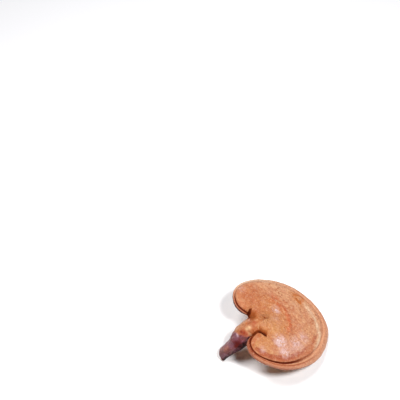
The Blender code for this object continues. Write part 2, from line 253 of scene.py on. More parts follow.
# Zones in millimetres through which something fades in or out
ZONES = {
    "top's edge": (-0.5, 0.5), "lip's inner side": (0.0, 6.0), "first ridges": (2.0, 5.0),
    "last ridges": (18.0, 30.0), "plateau's edge": (28.0, 34.0), "lobe's edge": (2.0, 5.0),
    "below the face": (-14.0, -10.0), "crease's depth": (1.5, 7.0), "wall's upper edge": (0.8, 2.2),
    "wall's reach": (1.5, 3.0), "lip's edge": (-0.4, 0.8), "down the side": (-3.4, -2.6),
    "pale ring": (22.0, 46.0), "upper half": (0.0, 34.0), "hub's edge": (20.0, 33.0),
    "outer ring": (5.0, 8.0), "ruddy ring": (1.5, 4.5), "band's far end": (32.0, 48.0), "foot": (40.0, 60.0),
    "skin's border": (-1.8, 1.8),
}
# How pale the margin is, by bearing
CREAM_TINT = (
    (-180.0, 0.0), (-100.0, 0.0), (-60.0, 0.15), (0.0, 0.25), (40.0, 0.4), (75.0, 0.6), (90.0, 1.0), (122.0, 1.0),
    (138.0, 0.2), (145.0, 0.0), (180.0, 0.0),
)
CREAM_EDGE = mm(1.0, 3.4)
# How dark the painted shade in the groove is, by bearing
GROOVE_TINT = (
    (-180.0, 0.3), (-165.0, 0.9), (-150.0, 1.0), (-108.0, 1.0), (-88.0, 0.8), (-68.0, 0.4), (-40.0, 0.1),
    (90.0, 0.0), (128.0, 0.1), (146.0, 0.5), (153.0, 1.0), (166.0, 1.0), (180.0, 0.3),
)
# Stretch of the margin, on the upper lobe's lower side, whose wall and underside get painted shade
DARK_REACH = (150.0, 166.0, 22.0)
RED_LIP_REACH = (-178.0, -146.0, 16.0)
FAR_REACH = (-45.0, 75.0, 40.0)
OUTER_REACH = (-176.0, -55.0, 25.0)
# Painted shade of each cleft: its course, and the shares of its width between which the painted shade fades on the
# open side
CLEFT_TINTS = ((UPPER_CLEFT, 0.05, 0.85), (LOWER_CLEFT, 0.1, 1.7))
# Spread of the painted shade on the slopes beside the clefts
SLOPE_WIDTH = 2.9 * MM
# Marks along courses in plan, each with its spread
YELLOW_LOOP = mm((53.8, 33.0), (62.8, 33.0), (64.7, 28.7), (58.2, 23.0), (54.6, 27.9))
COURSE_MARKS = {
    "arc": (mm(
        (27.0, 27.5), (30.4, 22.0), (33.4, 15.8), (36.6, 9.7), (37.8, 3.6), (37.1, -2.4), (33.7, -7.3),
    ), 3.2 * MM),
    "stripe": (mm(
        (62.4, 23.2), (68.0, 12.1), (70.9, 4.7), (72.1, -3.8), (71.3, -12.3), (68.7, -20.6), (62.9, -29.8),
        (55.0, -37.9),
    ), 1.9 * MM),
    "band": (mm(
        (66.9, -14.9), (60.5, -22.2), (53.3, -28.2), (43.7, -34.0), (33.4, -38.5), (22.6, -41.2), (11.6, -41.5),
        (1.4, -39.4), (-6.0, -35.8), (-10.7, -31.2),
    ), 2.4 * MM),
    "loop": (YELLOW_LOOP, 1.6 * MM),
    "yellow": (YELLOW_LOOP, 4.0 * MM),
}
# How far noise bends these marks, as a share of their spread, and the rings along the groove
COURSE_BEND = 0.5
LINE_BEND = 0.8 * MM
# How far the orange band fades at its far end, how pale the lower half is beside the upper one, and how much less
# pale the ruddy patch is
BAND_FADE = 0.45
PALE_BELOW = 0.62
PALE_LESS = 0.8
# Marks on the cap, each as places in plan with reach, in millimetres, and strength; bloom is spore dust with painted
# sheen, and so is the greyish mark
CAP_MARKS = {
    "bloom_and_sheen": (
        (17.6, -23.6, 6.0, 1.0), (20.3, -36.1, 5.0, 0.8), (48.3, -18.9, 6.0, 0.6), (37.1, -25.9, 7.0, 0.7),
        (-5.1, -32.0, 4.0, 0.5), (23.5, 13.1, 4.0, 0.8), (18.8, 3.0, 4.0, 0.55), (30.0, -32.0, 8.0, 0.45),
        (-10.5, 40.0, 5.0, 0.5), (-9.0, 3.5, 2.5, 0.5),
    ),
    "greyish": ((24.0, -32.0, 8.0, 1.0), (38.0, -29.0, 7.0, 0.8)),
    "olive": ((-11.5, -26.0, 6.0, 0.9), (0.0, -28.0, 7.0, 0.8), (15.7, -10.4, 6.0, 0.9), (15.0, 2.0, 7.0, 0.7)),
    "brown": ((1.4, 12.1, 4.0, 1.0), (-1.2, 23.9, 4.5, 0.8)),
    "ruddy": ((-5.0, 34.0, 12.0, 1.0),),
    "dimpled": ((6.5, 3.5, 4.5, 1.0),),
}
# The dimple beside the hub, as a mark, for its depth and its painted shade
DIMPLE = ((6.5, 3.5, 0.9, 1.0),)
# Where the crust gives way to the stem's skin: depth below the cap's face, how much deeper it is across the stem, and
# how much the border bends and frays
SKIN_DEPTH = 22.8 * MM
SKIN_SLANT = 0.77
SKIN_LIMITS = mm(12.0, 25.0)
BORDER_BEND = 2.2 * MM
BORDER_RAGGED = 1.4 * MM
# Marks on the neck and the stem, each as places with reach, in millimetres, and strength; tan, glint and light are
# painted highlights, and deep is painted shade under the lower lobe
STEM_MARKS = {
    "tan": ((-12.6, -5.1, -8.0, 1.5, 1.0), (-11.2, -5.0, -5.6, 1.5, 1.0), (-10.6, -9.4, -10.0, 1.6, 0.5)),
    "red": (
        (-15.8, -5.2, -14.4, 1.9, 1.0), (-14.0, -7.0, -12.9, 2.1, 1.0), (-12.2, -8.8, -12.0, 1.7, 0.9),
        (-7.0, -1.2, -0.6, 1.5, 0.6),
    ),
    "mauve": ((-18.6, -5.0, -24.0, 4.5, 1.0), (-18.2, -9.0, -36.5, 3.0, 0.7)),
    "glint": ((-17.9, -3.7, -18.6, 1.1, 0.9), (-17.6, -4.6, -20.2, 1.1, 0.9), (-17.0, -6.0, -21.0, 1.0, 0.7)),
    "deep": ((-14.2, -13.0, -27.8, 4.4, 1.0), (-10.0, -14.4, -26.0, 4.0, 1.0), (-18.8, -4.8, -31.4, 1.6, 0.6)),
    "light": (
        (-19.8, -8.2, -42.5, 1.4, 0.9), (-19.9, -8.6, -45.5, 1.4, 0.9), (-20.0, -8.6, -48.5, 1.4, 0.8),
        (-20.5, -5.4, -52.0, 1.8, 0.9), (-20.5, -4.4, -56.0, 1.6, 0.7),
    ),
}
# The side of the stem under the lower lobe, which gets painted shade, and how squarely a face looks that way or the
# other, where it gets a painted highlight
SHADED_SIDE = np.array([0.6, -0.8, 0.0])
SHADED_SIDE_RANGE = (0.38, 0.92)
LIT_SIDE_RANGE = (0.35, 0.95)
# The line where stem and cap have grown together is rounded off more
JOINT_SOFTNESS = 2.2 * MM
JOINT_STEPS = 30
# Soft share of stem and cut end: name, skins that count, and rounds of smoothing
SKIN_SHARES = (("stem_share", (STEM_SKIN, CUT_END), 8), ("cut_share", (CUT_END,), 1))
SMOOTHING = 0.5


def spline(points, shares, closed):
    """Points along a smooth curve through the given ones, each share between 0 and 1 of its spans."""
    spans = len(points) if closed else len(points) - 1
    places = shares * spans
    index = np.minimum(places.astype(int), spans - 1)
    t = (places - index)[:, None]
    around = [index + step for step in (-1, 0, 1, 2)]
    p = [points[step % spans if closed else np.clip(step, 0, spans)] for step in around]
    bend = 2 * p[0] - 5 * p[1] + 4 * p[2] - p[3]
    return p[1] + 0.5 * t * (p[2] - p[0] + t * (bend + t * (3 * (p[1] - p[2]) + p[3] - p[0])))


def unit(vectors):
    """The vectors at length 1."""
    return vectors / np.linalg.norm(vectors, axis=-1, keepdims=True)


def segments(place, course):
    """For each stretch of a course: squared distance of the places, whether they are on its left, and its values."""
    for start, end in zip(course[:-1], course[1:]):
        run = end[:2] - start[:2]
        share = np.clip((place - start[:2]) @ run / (run @ run), 0.0, 1.0)
        away = place - start[:2] - share[..., None] * run
        left = run[0] * away[..., 1] - run[1] * away[..., 0] > 0
        yield (away ** 2).sum(axis=-1), left, start[2:] + (end[2:] - start[2:]) * share[..., None]


def from_course(place, course):
    """Signed distance from a course, positive on its left, and the values that the course gives there."""
    nearest = np.full(place.shape[:-1], np.inf)
    side = np.ones(place.shape[:-1])
    values = np.zeros((*place.shape[:-1], course.shape[1] - 2))
    for square, left, beside in segments(place, course):
        distance = np.sqrt(square)
        closer = distance < nearest
        nearest = np.where(closer, distance, nearest)
        side = np.where(closer, np.where(left, 1.0, -1.0), side)
        values = np.where(closer[..., None], beside, values)
    return nearest * side, values.T


def valley(place, course):
    """Depth of a rounded valley that follows the course."""
    deepest = np.zeros(place.shape[:-1])
    for square, left, beside in segments(place, course):
        spread = np.where(left, CREASE_SPREAD, CREASE_STEEP_SPREAD)
        deepest = np.maximum(deepest, beside[..., 0] * np.exp(-0.5 * square / spread ** 2))
    return deepest


def hill(place, middle, spread):
    """1 at the middle, falling off over the spread, in plan."""
    return np.exp(-0.5 * (((place - middle) / spread) ** 2).sum(axis=-1))


def bare_crown(place):
    """Height of the cap's top without its creases."""
    away = np.linalg.norm(place - CAP_CENTRE, axis=-1) / CAP_RADIUS
    return HUMP_HEIGHT * hill(place, HUMP_CENTRE, HUMP_SPREAD) - CROWN_DROP * away ** CROWN_POWER


def crown(place):
    """Height of the cap's top."""
    return bare_crown(place) - valley(place, UPPER_CREASE) - valley(place, LOWER_CREASE)


def sag(place):
    """Depth by which the underside hangs lower where the margin is thickest."""
    return SAG_DEPTH * hill(place, SAG_PLACE, SAG_SPREAD)


def underside(place):
    """Height of the pore surface, which swells down where the stem begins."""
    return -PORES_DEPTH - ROOT_SWELL * hill(place, 0.0, ROOT_SPREAD) - sag(place)


def bearing_of(place):
    """Bearing in degrees seen from the cap's centre, 0 on the far side."""
    return np.degrees(np.arctan2(place[..., 1] - CAP_CENTRE[1], place[..., 0] - CAP_CENTRE[0]))


def by_bearing(bearing, rows, column=1):
    """Value of the rows' column at the bearing, which the rows begin with."""
    return np.interp(bearing, *np.array(rows)[:, [0, column]].T)


def evened(values, rounds):
    """Values around a ring, each moved towards its neighbours as often as the rounds say."""
    for _ in range(rounds):
        values = (np.roll(values, 1, axis=0) + 2 * values + np.roll(values, -1, axis=0)) / 4
    return values


def inner_ring(ring, share):
    """Smaller and more even copy of a ring around the pole."""
    even = (1 - share) ** EVEN_POWER
    return POLE + (ring + (evened(ring, EVEN_RINGS) - ring) * even - POLE) * share


def outward_of(ring):
    """Outward direction at each point of a closed curve that runs counter-clockwise, at any length."""
    along = np.roll(ring, -1, axis=0) - np.roll(ring, 1, axis=0)
    return np.stack((along[:, 1], -along[:, 0]), axis=1)


def neck_share(place):
    """1 at the neck, where the top has no lip, and 0 away from it."""
    return 1 / (1 + (np.linalg.norm(place - NECK, axis=1) / NECK_REACH) ** NECK_SHARPNESS)


def cap_rings():
    """Rings of the cap's cage from the top's centre over the margin to the underside's centre."""
    shares = np.arange(MERIDIANS) / MERIDIANS
    shares = shares + CROWDING * np.sin(2 * math.pi * shares) / (2 * math.pi)
    margin = spline(MARGIN, shares, True)
    outward = unit(evened(unit(outward_of(margin)), EVEN_NORMALS))
    lip, groove, sunk = (by_bearing(bearing_of(margin), LIP, column) * MM for column in (1, 2, 3))

    neck = neck_share(margin)
    reach = lip + SHOULDER
    shoulder = margin - outward * reach[:, None]
    edge = crown(shoulder)

    def ring(inset, drop):
        place = margin - outward * inset[:, None]
        flow = crown(place) - NECK_DROP * (1 - inset / reach) ** 2
        return np.column_stack((place, edge - drop + neck * (flow - edge + drop)))

    inner = [inner_ring(shoulder, share) for share in TOP_RINGS]
    rings = [np.column_stack((place, crown(place))) for place in (*inner, shoulder)]
    for share, drop, sinking in SHOULDER_TOP:
        rings.append(ring(lip + share * SHOULDER, drop + sinking * sunk))
    rings.append(ring(lip, GROOVE_FLOOR + groove + sunk))
    for share, drop, sinking in LIP_TOP:
        rings.append(ring(lip * share, drop + sinking * sunk))
    margin_row = len(rings) - 1
    for inset, drop, share in LIP_UNDER:
        place = margin - outward * inset
        rings.append(np.column_stack((place, -CROWN_DROP - drop - share * sag(place))))
    inner = [inner_ring(rings[-1][:, :2], share) for share in UNDER_RINGS]
    rings += [np.column_stack((place, underside(place))) for place in inner]
    return rings, margin_row


def cleft_rings(course):
    """Cross-sections of a cleft, from its floor to above the cap, with the wall under the lobe on the right."""
    run = unit(np.gradient(course[:, :2], axis=0))
    right = np.column_stack((run[:, 1], -run[:, 0]))
    rings = []
    for place, side, depth, width in zip(course[:, :2], right, course[:, 2], course[:, 3]):
        top = bare_crown(place)
        flare = (width + CLEFT_LEAN * depth) / max(depth, CLEFT_FLARE)
        corners = (
            (CLEFT_LEAN * depth, top - depth),
            (-CLEFT_LEAN * CLEFT_TOP, top + CLEFT_TOP),
            (-width - flare * CLEFT_TOP, top + CLEFT_TOP),
            (CLEFT_LEAN * depth - CLEFT_FLOOR * width, top - depth),
        )
        rings.append(np.array([(*(place + side * across), height) for across, height in corners]))
    return rings


def placed(name, data):
    """New object with the data, in the scene."""
    piece = bpy.data.objects.new(name, data)
    bpy.context.scene.collection.objects.link(piece)
    return piece


def give_skins(mesh):
    mesh.materials.clear()
    for material in SKINS:
        mesh.materials.append(material)


def cleft(name, course):
    """Closed solid that cuts a cleft."""
    mesh = bpy.data.meshes.new(name)
    tube = bmesh.new()
    rows = [[tube.verts.new(point) for point in ring] for ring in cleft_rings(course)]
    count = len(rows[0])
    for near, far in zip(rows[:-1], rows[1:]):
        for j in range(count):
            k = (j + 1) % count
            tube.faces.new((near[j], far[j], far[k], near[k]))
    tube.faces.new(rows[0])
    tube.faces.new(rows[-1])
    bmesh.ops.recalc_face_normals(tube, faces=tube.faces)
    tube.to_mesh(mesh)
    tube.free()
    give_skins(mesh)
    return placed(name, mesh)


def profile_lengths(rings, margin_row):
    """Distance along the profile from the margin, positive over the top and negative under it, at each cage point."""
    steps = np.linalg.norm(np.diff(np.array(rings), axis=0), axis=2)
    along = np.vstack((np.zeros(MERIDIANS), np.cumsum(steps, axis=0)))
    return along[margin_row] - along


def loft(name, rings, first, last, material_of_row, fields):
    """Closed cage through rings of equal count, with a point at each end, and fields given ring by ring."""
    mesh = bpy.data.meshes.new(name)
    cage = bmesh.new()
    rows = [[cage.verts.new(point) for point in ring] for ring in rings]
    tips = [cage.verts.new(first), cage.verts.new(last)]
    count = len(rows[0])
    for j in range(count):
        k = (j + 1) % count
        cage.faces.new((tips[0], rows[0][j], rows[0][k])).material_index = material_of_row(0)
        cage.faces.new((tips[1], rows[-1][k], rows[-1][j])).material_index = material_of_row(len(rows) - 1)
        for i in range(len(rows) - 1):
            face = cage.faces.new((rows[i][j], rows[i + 1][j], rows[i + 1][k], rows[i][k]))
            face.material_index = material_of_row(i)
    bmesh.ops.recalc_face_normals(cage, faces=cage.faces)
    give_skins(mesh)
    cage.to_mesh(mesh)
    cage.free()
    for field, values in fields.items():
        add_attribute(mesh, field, np.append(values, (values[0].mean(), values[-1].mean())))
    shape = placed(name, mesh)
    shape.modifiers.new("soft form", "SUBSURF").levels = FINE_LEVELS
    return shape


def cap():
    rings, margin_row = cap_rings()
    top = (*POLE, crown(POLE))
    bottom = (*POLE, underside(POLE))
    reach = profile_lengths(rings, margin_row)
    groove = np.tile(reach[margin_row - len(LIP_TOP)], (len(rings), 1))
    fields = {"reach": reach, "groove_reach": groove}
    return loft("cap cage", rings, top, bottom, lambda row: PORES if row > margin_row + 1 else CRUST, fields)


def stem():
    """Bent tapering stem whose upper end is inside the cap."""
    path = spline(STEM, np.linspace(0.0, 1.0, STEM_STATIONS), False)
    centres, radii = path[:, :3], path[:, 3]
    tangents = unit(np.gradient(centres, axis=0))
    smoothing = (2 + math.cos(2 * math.pi / STEM_SIDES)) / 3
    across = np.array([0.0, 1.0, 0.0])
    turns = 2 * math.pi * np.arange(STEM_SIDES) / STEM_SIDES
    rings = []
    for centre, radius, tangent in zip(centres, radii, tangents):
        side = unit(across - tangent * (across @ tangent))
        up = np.cross(tangent, side)
        spokes = np.outer(np.cos(turns), side) + np.outer(np.sin(turns), up)
        bearings = np.arctan2(spokes[:, 1], spokes[:, 0])
        reach = np.full(STEM_SIDES, radius)
        for height, bearing, size, length in STEM_KNOBS:
            facing_it = np.maximum(np.cos(bearings - math.radians(bearing)), 0.0) ** 2
            reach += size * MM * facing_it * bump_at(centre[2], height * MM, length * MM)
        rings.append(centre + spokes * reach[:, None] / smoothing)
    first = centres[0] - tangents[0] * STEM_TIP
    last = centres[-1] + tangents[-1] * STEM_TIP
    return loft("stem cage", rings, first, last, lambda row: STEM_SKIN, {})


def knife():
    """Block whose top face cuts the stem off."""
    bpy.ops.mesh.primitive_cube_add(size=KNIFE_SIZE)
    block = bpy.context.object
    down = unit(STEM_CUT_NORMAL)
    side = unit(np.cross((0.0, 1.0, 0.0), -down))
    turn = Matrix(np.column_stack((side, np.cross(-down, side), -down)).tolist()).to_4x4()
    block.matrix_world = Matrix.Translation(Vector(STEM_CUT_POINT + down * KNIFE_SIZE / 2)) @ turn
    give_skins(block.data)
    for face in block.data.polygons:
        face.material_index = CUT_END
    return block


def evaluated(shape, name):
    """New mesh of the shape with its modifiers applied."""
    bpy.context.view_layer.update()
    graph = bpy.context.evaluated_depsgraph_get()
    mesh = bpy.data.meshes.new_from_object(shape.evaluated_get(graph))
    mesh.name = name
    return mesh


def gathered(items, name, width=1, kind=float):
    """What Blender keeps under the name for each of the items, as an array with a row for each."""
    flat = np.zeros(width * len(items), dtype=kind)
    items.foreach_get(name, flat)
    return flat if width == 1 else flat.reshape(-1, width)


def coordinates(mesh):
    return gathered(mesh.vertices, "co", 3)


def normals(mesh):
    return gathered(mesh.vertices, "normal", 3)


def attribute_values(mesh, name):
    return gathered(mesh.attributes[name].data, "value")


def add_attribute(mesh, name, values):
    layer = mesh.attributes.get(name) or mesh.attributes.new(name, "FLOAT", "POINT")
    layer.data.foreach_set("value", values.astype(np.float32))


def set_coordinates(mesh, points):
    mesh.vertices.foreach_set("co", points.ravel())
    mesh.update()


def rest_pose(cap_cage):
    """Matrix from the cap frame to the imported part's frame, set by the part's box."""
    turn = Matrix.Rotation(REST_YAW, 4, "Z") @ Matrix.Rotation(REST_TILT, 4, "Y")
    cap_cage.modifiers["soft form"].levels = CAGE_LEVELS
    points = coordinates(evaluated(cap_cage, "cap size")) @ np.array(turn.to_3x3()).T
    cap_cage.modifiers["soft form"].levels = FINE_LEVELS
    shift = np.array(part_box("reishi_mushroom")[1]) - points.max(axis=0)
    return Matrix.Translation(Vector(shift)) @ turn


def smoothstep(low, high, value):
    t = np.clip((value - low) / (high - low), 0.0, 1.0)
    return t * t * (3 - 2 * t)


def bump_at(value, middle, spread):
    return np.exp(-0.5 * ((value - middle) / spread) ** 2)


def marked(points, rows):
    """Strength of the strongest mark at each point."""
    marks = [row[-1] * bump_at(np.linalg.norm(points / MM - row[:-2], axis=1), 0.0, row[-2]) for row in rows]
    return np.max(marks, axis=0)


def window(bearing, start, end, soft):
    """1 where the bearing is between start and end, fading out over soft degrees."""
    middle = (start + end) / 2
    turn = np.abs((bearing - middle + 180) % 360 - 180)
    return 1 - smoothstep((end - start) / 2, (end - start) / 2 + soft, turn)


def past(zone, value):
    """Soft step from 0 to 1 while the value passes through the zone of that name."""
    start, end = ZONES[zone]
    return smoothstep(start * MM, end * MM, value)


def rough(points, size, seed):
    """Noise between about -1 and 1 whose features measure the given size, in each direction or in all."""
    return np.array([noise.fractal(place, *FRACTAL) for place in (points / size + seed).tolist()])


def point_tree(points):
    """Tree that finds the nearest of the points."""
    tree = kdtree.KDTree(len(points))
    for index, place in enumerate(points):
        tree.insert(place, index)
    tree.balance()
    return tree


def margin_frame(points):
    """Distance in from the margin in plan, and the margin's point nearest to each point."""
    samples = spline(MARGIN, np.arange(MARGIN_SAMPLES) / MARGIN_SAMPLES, True)
    tree = point_tree(np.pad(samples, ((0, 0), (0, 1))))
    nearest = np.array([tree.find((u, v, 0.0))[1] for u, v in points[:, :2].tolist()])
    away = points[:, :2] - samples[nearest]
    outside = (away * outward_of(samples)[nearest]).sum(axis=1) > 0
    return np.where(outside, -1.0, 1.0) * np.linalg.norm(away, axis=1), samples[nearest]


def cap_fields(mesh):
    """Places on the cap in terms of its growth: what the relief and the colours both follow."""
    points = coordinates(mesh)
    reach = attribute_values(mesh, "reach")
    groove_reach = np.maximum(attribute_values(mesh, "groove_reach"), MM)
    from_groove = reach - groove_reach
    inset, at_margin = margin_frame(points)
    bearing = bearing_of(at_margin)
    neck = neck_share(at_margin)
    wobble = FIELD_BEND * rough(points, *FIELD_WAVE)
    depth = by_bearing(bearing, LIP, 2) / np.max(LIP, axis=0)[2]
    lined = (1 - neck) * window(bearing, *LINE_REACH)
    return {
        "reach": reach, "from_groove": from_groove, "inset": inset, "bearing": bearing, "neck": neck, "lined": lined,
        "top": past("top's edge", reach),
        "lip_share": reach / groove_reach,
        "groove": (1 - neck) * depth * bump_at(from_groove + wobble, 0.0, GROOVE_WIDTH),
        "line": lined * bump_at(reach + wobble, LINE_SHARE * groove_reach, LINE_WIDTH),
    }


def crease_depth(place, course, spread, steep):
    """Depth of a valley by the course's own depths, with its steep side on the right."""
    offset, values = from_course(place, course)
    return values[0] * bump_at(offset, 0.0, np.where(offset > 0, spread, steep))


def lip_relief(fields):
    """Groove, line and rolls of the lip."""
    rolls = sum(bump_at(fields["from_groove"], place, spread) for place, spread in ROLLS)
    return ROLL_HEIGHT * rolls * fields["lined"] - GROOVE_DEPTH * fields["groove"] - LINE_DEPTH * fields["line"]


def growth_relief(place, fields, inside, wave, fine_wave):
    """Growth ridges between the hub and the lip, and the step where the hub's plateau ends."""
    inset = fields["inset"]
    bent = inset + RIDGE_BENDS[0] * wave + RIDGE_BENDS[1] * fine_wave
    ridges = np.sin(2 * math.pi * bent / RIDGE_SPACING) * fields["top"] * window(fields["bearing"], *RIDGE_REACH)
    ridges *= past("first ridges", inset) * (1 - past("last ridges", inset))
    from_hub = np.linalg.norm(place - HUB, axis=1) + PLATEAU_BEND * wave
    step = RIM_HEIGHT * bump_at(from_hub, RIM_PLACE, RIM_WIDTH) - PLATEAU_STEP * past("plateau's edge", from_hub)
    return RIDGE_HEIGHT * ridges + inside * step


def wrinkle_relief(points, inside):
    """Slanted wrinkles, strongest on the far part of the lower lobe."""
    slanted = points @ np.array(Matrix.Rotation(WRINKLES_TURN, 3, "Z"))
    folds = 1 - np.abs(rough(slanted, *WRINKLE_NOISE))
    share = WRINKLES_LEAST + (1 - WRINKLES_LEAST) * hill(points[:, :2], WRINKLES, WRINKLES_REACH)
    return WRINKLE_HEIGHT * (folds - WRINKLE_LEVEL) * inside * share


def cap_relief(points, fields):
    """How far the cap's skin stands out, with the fold across the neck and the dimple beside the hub."""
    place = points[:, :2]
    top = fields["top"]
    inside = past("lip's inner side", fields["from_groove"])
    wave = rough(points, *WAVE)
    fine_wave = rough(points, *FINE_WAVE)
    push = lip_relief(fields) + growth_relief(place, fields, inside, wave, fine_wave)
    push += WAVE_HEIGHT * wave * (WAVE_ON_LIP + (1 - WAVE_ON_LIP) * inside) + FINE_WAVE_HEIGHT * fine_wave
    push += wrinkle_relief(points, inside)
    push -= crease_depth(place, NECK_CUT, *NECK_CUT_SPREAD) * top
    push += NECK_LUMP_HEIGHT * rough(points, *NECK_LUMPS) * fields["neck"]
    return push - DIMPLE_DEPTH * top * marked(place, DIMPLE)


def stem_relief(points):
    """How far the stem's skin stands out."""
    return sum(height * rough(points, size, seed) for height, size, seed in STEM_LUMPS)


def carve(mesh):
    """Relief of the whole body, along its surface's normals."""
    points = coordinates(mesh)
    stem_share = attribute_values(mesh, "stem_share")
    cut_share = attribute_values(mesh, "cut_share")
    push = (1 - stem_share) * cap_relief(points, cap_fields(mesh)) + stem_share * stem_relief(points)
    push = (1 - cut_share) * push - cut_share * CUT_RAGGED * np.abs(rough(points, *CUT_NOISE))
    set_coordinates(mesh, points + normals(mesh) * push[:, None])


def edge_ends(mesh):
    return gathered(mesh.edges, "vertices", 2, np.int32)


def smoothed(mesh, values, rounds, weight):
    """Values at the vertices, each moved towards the mean of its neighbours by its weight, again and again."""
    starts, ends = edge_ends(mesh).T
    count = np.bincount(np.concatenate((starts, ends)), minlength=len(values))
    values = values.reshape(len(values), -1).copy()
    weight = np.broadcast_to(weight, len(values))[:, None]
    for _ in range(rounds):
        total = np.stack([
            np.bincount(starts, column[ends], len(values)) + np.bincount(ends, column[starts], len(values))
            for column in values.T
        ], axis=1)
        values += weight * (total / count[:, None] - values)
    return values


def even_faces(source):
    """The body again in even faces, so that the relief is equally fine everywhere."""
    shape = placed("even faces", source)
    even = shape.modifiers.new("even faces", "REMESH")
    even.mode = "VOXEL"
    even.voxel_size = FACE_SIZE
    mesh = evaluated(shape, "reishi_mushroom_skin")
    bpy.data.objects.remove(shape, do_unlink=True)
    return mesh


def nearest_faces(source, mesh):
    """For each vertex of the mesh, the source's nearest face and the point there."""
    faces = [tuple(face.vertices) for face in source.polygons]
    tree = BVHTree.FromPolygons(coordinates(source).tolist(), faces)
    found = [tree.find_nearest(place) for place in coordinates(mesh).tolist()]
    return [hit[2] for hit in found], [hit[0] for hit in found]


def carry_fields(source, mesh):
    """Give each vertex the fields that the uncut cap has beside it."""
    corners = [vertex.co for vertex in source.vertices]
    fields = np.column_stack((attribute_values(source, "reach"), attribute_values(source, "groove_reach")))
    carried = np.zeros((len(mesh.vertices), 2))
    for index, (face, point) in enumerate(zip(*nearest_faces(source, mesh))):
        ends = list(source.polygons[face].vertices)
        carried[index] = np.array(poly_3d_calc([corners[end] for end in ends], point)) @ fields[ends]
    carried = smoothed(mesh, carried, FIELD_ROUNDS, SMOOTHING)
    add_attribute(mesh, "reach", carried[:, 0])
    add_attribute(mesh, "groove_reach", carried[:, 1])


def round_off(mesh, skin):
    """Round all edges a little, and the line where stem and cap have grown together more."""
    points = smoothed(mesh, coordinates(mesh), ROUNDING, SMOOTHING)
    starts, ends = edge_ends(mesh).T
    joint = (skin[starts] == STEM_SKIN) & np.isin(skin[ends], (CRUST, PORES))
    joint |= (skin[ends] == STEM_SKIN) & np.isin(skin[starts], (CRUST, PORES))
    tree = point_tree(points[starts[joint]])
    away = np.array([tree.find(place)[2] for place in points.tolist()])
    weight = np.where(away > 4 * JOINT_SOFTNESS, 0.0, SMOOTHING * bump_at(away, 0.0, JOINT_SOFTNESS))
    points = smoothed(mesh, points, JOINT_STEPS, weight)
    near = np.zeros(len(points))
    for course in (UPPER_CLEFT, LOWER_CLEFT):
        offset, (deep, width) = from_course(points[:, :2], course)
        near = np.maximum(near, 1 - past("lobe's edge", np.abs(offset - 0.5 * width)))
    near *= past("below the face", points[:, 2])
    set_coordinates(mesh, smoothed(mesh, points, LOBE_ROUNDING, SMOOTHING * near))


def lay_skins(mesh, skin):
    """Soft shares of stem and cut end at the vertices, and the material of each face."""
    for name, chosen, rounds in SKIN_SHARES:
        add_attribute(mesh, name, smoothed(mesh, np.isin(skin, chosen).astype(float), rounds, SMOOTHING)[:, 0])
    corners = gathered(mesh.loops, "vertex_index", kind=np.int32)
    starts = gathered(mesh.polygons, "loop_start", kind=np.int32)
    counts = np.diff(np.append(starts, len(corners)))
    material = np.full(len(starts), CRUST, dtype=np.int32)
    for index in (PORES, CUT_END):
        share = np.add.reduceat((skin[corners] == index).astype(float), starts) / counts
        material[share > 0.5] = index
    mesh.polygons.foreach_set("material_index", material)


def crease_masks(points, top):
    """Painted shade of the creases and the dimple, of the slopes beside the creases, and of the fold across the neck.
    """
    place = points[:, :2]
    depth = bare_crown(place) - points[:, 2]
    crease = DIMPLE_DARKNESS * marked(place, DIMPLE)
    slope = np.zeros(len(points))
    for course, near, far in CLEFT_TINTS:
        offset, (deep, width) = from_course(place, course)
        strength = past("crease's depth", deep)
        slope = np.maximum(slope, strength * bump_at(offset, width, SLOPE_WIDTH))
        left = 1 - smoothstep(near * width, far * width, offset)
        right = past("wall's upper edge", depth) * (1 - past("wall's reach", -offset))
        crease = np.maximum(crease, strength * np.where(offset > 0, left, right))
    hollow = crease_depth(place, NECK_CUT, *NECK_CUT_TINT) / MM
    return {"crease": crease * top, "slope": slope * top, "hollow": hollow}


def lip_masks(fields, on_cap, from_line):
    """Bands and tints of the lip, and the painted shade of the groove, of the line and of the upper lobe's side."""
    bearing = fields["bearing"]
    lipped = (1 - fields["neck"]) * on_cap
    upper = window(bearing, *DARK_REACH) * lipped
    return {
        "lip_share": fields["lip_share"],
        "from_groove": fields["from_groove"] / MM,
        "lip": (1 - past("lip's edge", fields["from_groove"])) * lipped,
        "grooved": by_bearing(bearing, GROOVE_TINT) * lipped,
        "line": fields["line"] * on_cap,
        "red_lip": window(bearing, *RED_LIP_REACH) * lipped,
        "far_rim": window(bearing, *FAR_REACH),
        "wall": upper,
        "under": upper * (1 - past("down the side", fields["from_groove"])),
        "ruddy_edge": upper * (1 - past("ruddy ring", from_line)) * fields["top"],
        "cream": bump_at(fields["reach"], *CREAM_EDGE) * by_bearing(bearing, CREAM_TINT) * on_cap,
    }


def cap_masks(place, fields, top, from_line, wave):
    """Marks and rings of the cap's top."""
    from_hub = np.linalg.norm(place - HUB, axis=1)
    masks = {name: marked(place, rows) * top for name, rows in CAP_MARKS.items()}
    for name, (course, spread) in COURSE_MARKS.items():
        offset = from_course(place, course)[0]
        masks[name] = bump_at(offset + spread * COURSE_BEND * wave, 0.0, spread) * top
    masks["band"] *= 1 - BAND_FADE * past("band's far end", place[:, 0])
    half = PALE_BELOW + (1 - PALE_BELOW) * past("upper half", place[:, 1])
    masks["pale"] = past("pale ring", from_hub) * half * (1 - PALE_LESS * masks["ruddy"]) * top
    masks["hub"] = 1 - past("hub's edge", from_hub)
    masks["outer"] = window(fields["bearing"], *OUTER_REACH) * (1 - past("outer ring", from_line)) * top
    return masks


